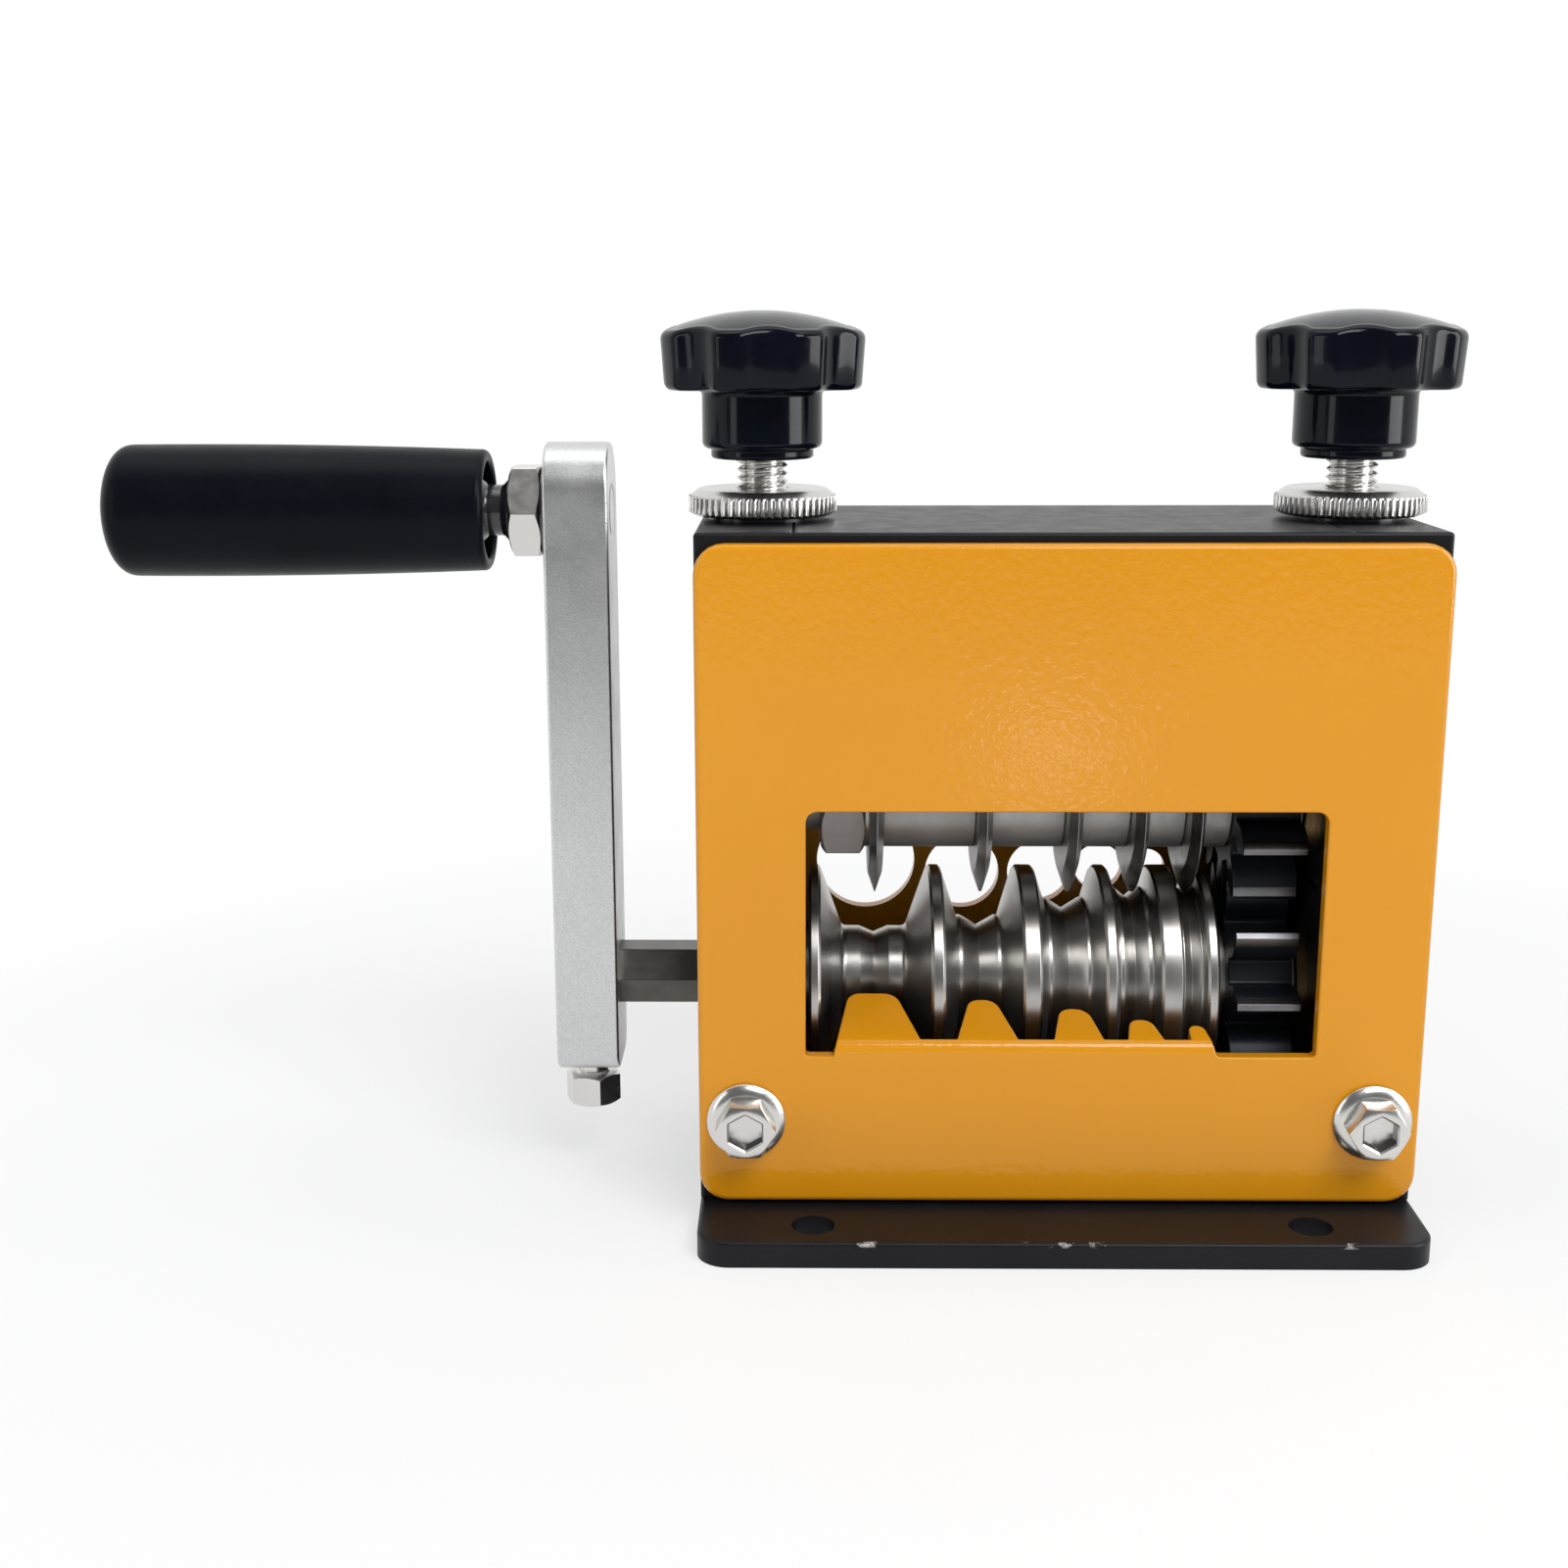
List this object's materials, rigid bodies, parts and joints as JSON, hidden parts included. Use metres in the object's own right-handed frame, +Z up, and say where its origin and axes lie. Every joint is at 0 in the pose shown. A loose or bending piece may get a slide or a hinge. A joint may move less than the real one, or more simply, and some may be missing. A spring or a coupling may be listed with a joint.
{
  "type": "hand crank wire stripper",
  "caption": "Bench wire stripper: a hand crank turns a grooved feed roller that pulls wires under disc blades, whose height two star knobs set. Base plate with bolt holes.",
  "frame": {"origin": "centre of the base plate's four bolt holes, on its underside", "axes": "+X along the shafts, away from the crank; +Y from the window to the rear cover; +Z up"},
  "size_m": [0.2095, 0.077, 0.1389],
  "materials": {
    "frame_black": "satin black powder coat, fine texture",
    "cover_orange": "glossy orange-yellow enamel",
    "bright_fastener": "bright zinc plate",
    "black_fastener": "black oxide",
    "bush_bronze": "machined bearing bronze",
    "block_steel": "machined steel",
    "plain_steel": "ground steel",
    "gear_steel": "dark machined steel",
    "roller_steel": "turned and polished steel",
    "blade_steel": "ground tool steel",
    "shaft_steel": "machined steel",
    "arm_aluminium": "bead blasted aluminium",
    "knurled_zinc": "bright zinc plate, straight knurl",
    "grip_plastic": "satin black moulded plastic",
    "knob_plastic": "glossy black moulded plastic"
  },
  "bodies": {
    "frame": {"base_plate": "frame_black", "right_side_plate": "frame_black", "left_side_plate": "frame_black", "top_plate": "frame_black", "front_cover": "cover_orange", "rear_cover": "cover_orange", "front_cover_bolts": "bright_fastener", "rear_cover_bolts": "bright_fastener", "cover_locating_pins": "plain_steel", "base_screws": "black_fastener", "top_plate_screws": "black_fastener", "right_drive_bush": "bush_bronze", "left_drive_bush": "bush_bronze"},
    "blade_carriage": {"right_bearing_block": "block_steel", "left_bearing_block": "block_steel", "right_blade_bush": "bush_bronze", "left_blade_bush": "bush_bronze", "screw_retaining_pins": "plain_steel"},
    "blade_shaft_set": {"blade_shaft": "shaft_steel", "blade_washer": "plain_steel", "blade_jam_nut": "shaft_steel", "blade_gear": "gear_steel", "blade_gear_key": "plain_steel", "blade_1": "blade_steel", "blade_spacer_1": "shaft_steel", "blade_2": "blade_steel", "blade_spacer_2": "shaft_steel", "blade_3": "blade_steel", "blade_spacer_3": "shaft_steel", "blade_4": "blade_steel", "blade_spacer_4": "shaft_steel", "blade_5": "blade_steel", "blade_spacer_5": "shaft_steel"},
    "drive": {"feed_roller": "roller_steel", "drive_gear": "gear_steel", "drive_gear_key": "plain_steel", "drive_gear_washer": "plain_steel", "crank_arm": "arm_aluminium", "crank_set_bolt": "bright_fastener", "handle_spindle": "bright_fastener", "handle_nut": "bright_fastener", "handle_washer": "black_fastener", "grip_snap_ring": "plain_steel"},
    "grip": {"handle_grip": "grip_plastic"},
    "left_adjuster": {"left_knob": "knob_plastic", "left_adjusting_screw": "bright_fastener"},
    "right_adjuster": {"right_knob": "knob_plastic", "right_adjusting_screw": "bright_fastener"},
    "left_lock_washer": {"left_lock_washer": "black_fastener"},
    "left_lock_nut": {"left_lock_nut": "knurled_zinc"},
    "right_lock_washer": {"right_lock_washer": "black_fastener"},
    "right_lock_nut": {"right_lock_nut": "knurled_zinc"}
  },
  "joints": [
    {"name": "crank_spin", "type": "hinge", "parent": "frame", "child": "drive", "pos_m": [0, 0, 0.0337], "axis": [1, 0, 0], "continuous": true},
    {"name": "blade_shaft_spin", "type": "hinge", "parent": "blade_carriage", "child": "blade_shaft_set", "pos_m": [0, 0, 0.06385], "axis": [1, 0, 0], "continuous": true},
    {"name": "grip_spin", "type": "hinge", "parent": "drive", "child": "grip", "pos_m": [-0.11795, 0, 0.1087], "axis": [1, 0, 0], "continuous": true},
    {"name": "blade_height", "type": "slide", "parent": "frame", "child": "blade_carriage", "axis": [0, 0, 1], "range_m": [-0.0004, 0.0035]},
    {"name": "left_knob_spin", "type": "hinge", "parent": "blade_carriage", "child": "left_adjuster", "pos_m": [-0.0454, 0, 0.1167], "axis": [0, 0, 1], "range_deg": [-116, 1009]},
    {"name": "left_nut_lift", "type": "slide", "parent": "frame", "child": "left_lock_washer", "axis": [0, 0, 1], "range_m": [0, 0.0025]},
    {"name": "left_nut_spin", "type": "hinge", "parent": "left_lock_washer", "child": "left_lock_nut", "pos_m": [-0.0454, 0, 0.1081], "axis": [0, 0, 1], "range_deg": [0, 721]},
    {"name": "right_knob_spin", "type": "hinge", "parent": "blade_carriage", "child": "right_adjuster", "pos_m": [0.0454, 0, 0.1167], "axis": [0, 0, 1], "range_deg": [-116, 1009]},
    {"name": "right_nut_lift", "type": "slide", "parent": "frame", "child": "right_lock_washer", "axis": [0, 0, 1], "range_m": [0, 0.0025]},
    {"name": "right_nut_spin", "type": "hinge", "parent": "right_lock_washer", "child": "right_lock_nut", "pos_m": [0.0454, 0, 0.1081], "axis": [0, 0, 1], "range_deg": [0, 721]}
  ],
  "couplings": [
    {"joint": "blade_shaft_spin", "follows": "crank_spin", "ratio": -1},
    {"joint": "left_knob_spin", "follows": "blade_height", "rad_per_m": 5026.5},
    {"joint": "left_nut_spin", "follows": "left_nut_lift", "rad_per_m": 5026.5},
    {"joint": "right_knob_spin", "follows": "blade_height", "rad_per_m": 5026.5},
    {"joint": "right_nut_spin", "follows": "right_nut_lift", "rad_per_m": 5026.5}
  ]
}
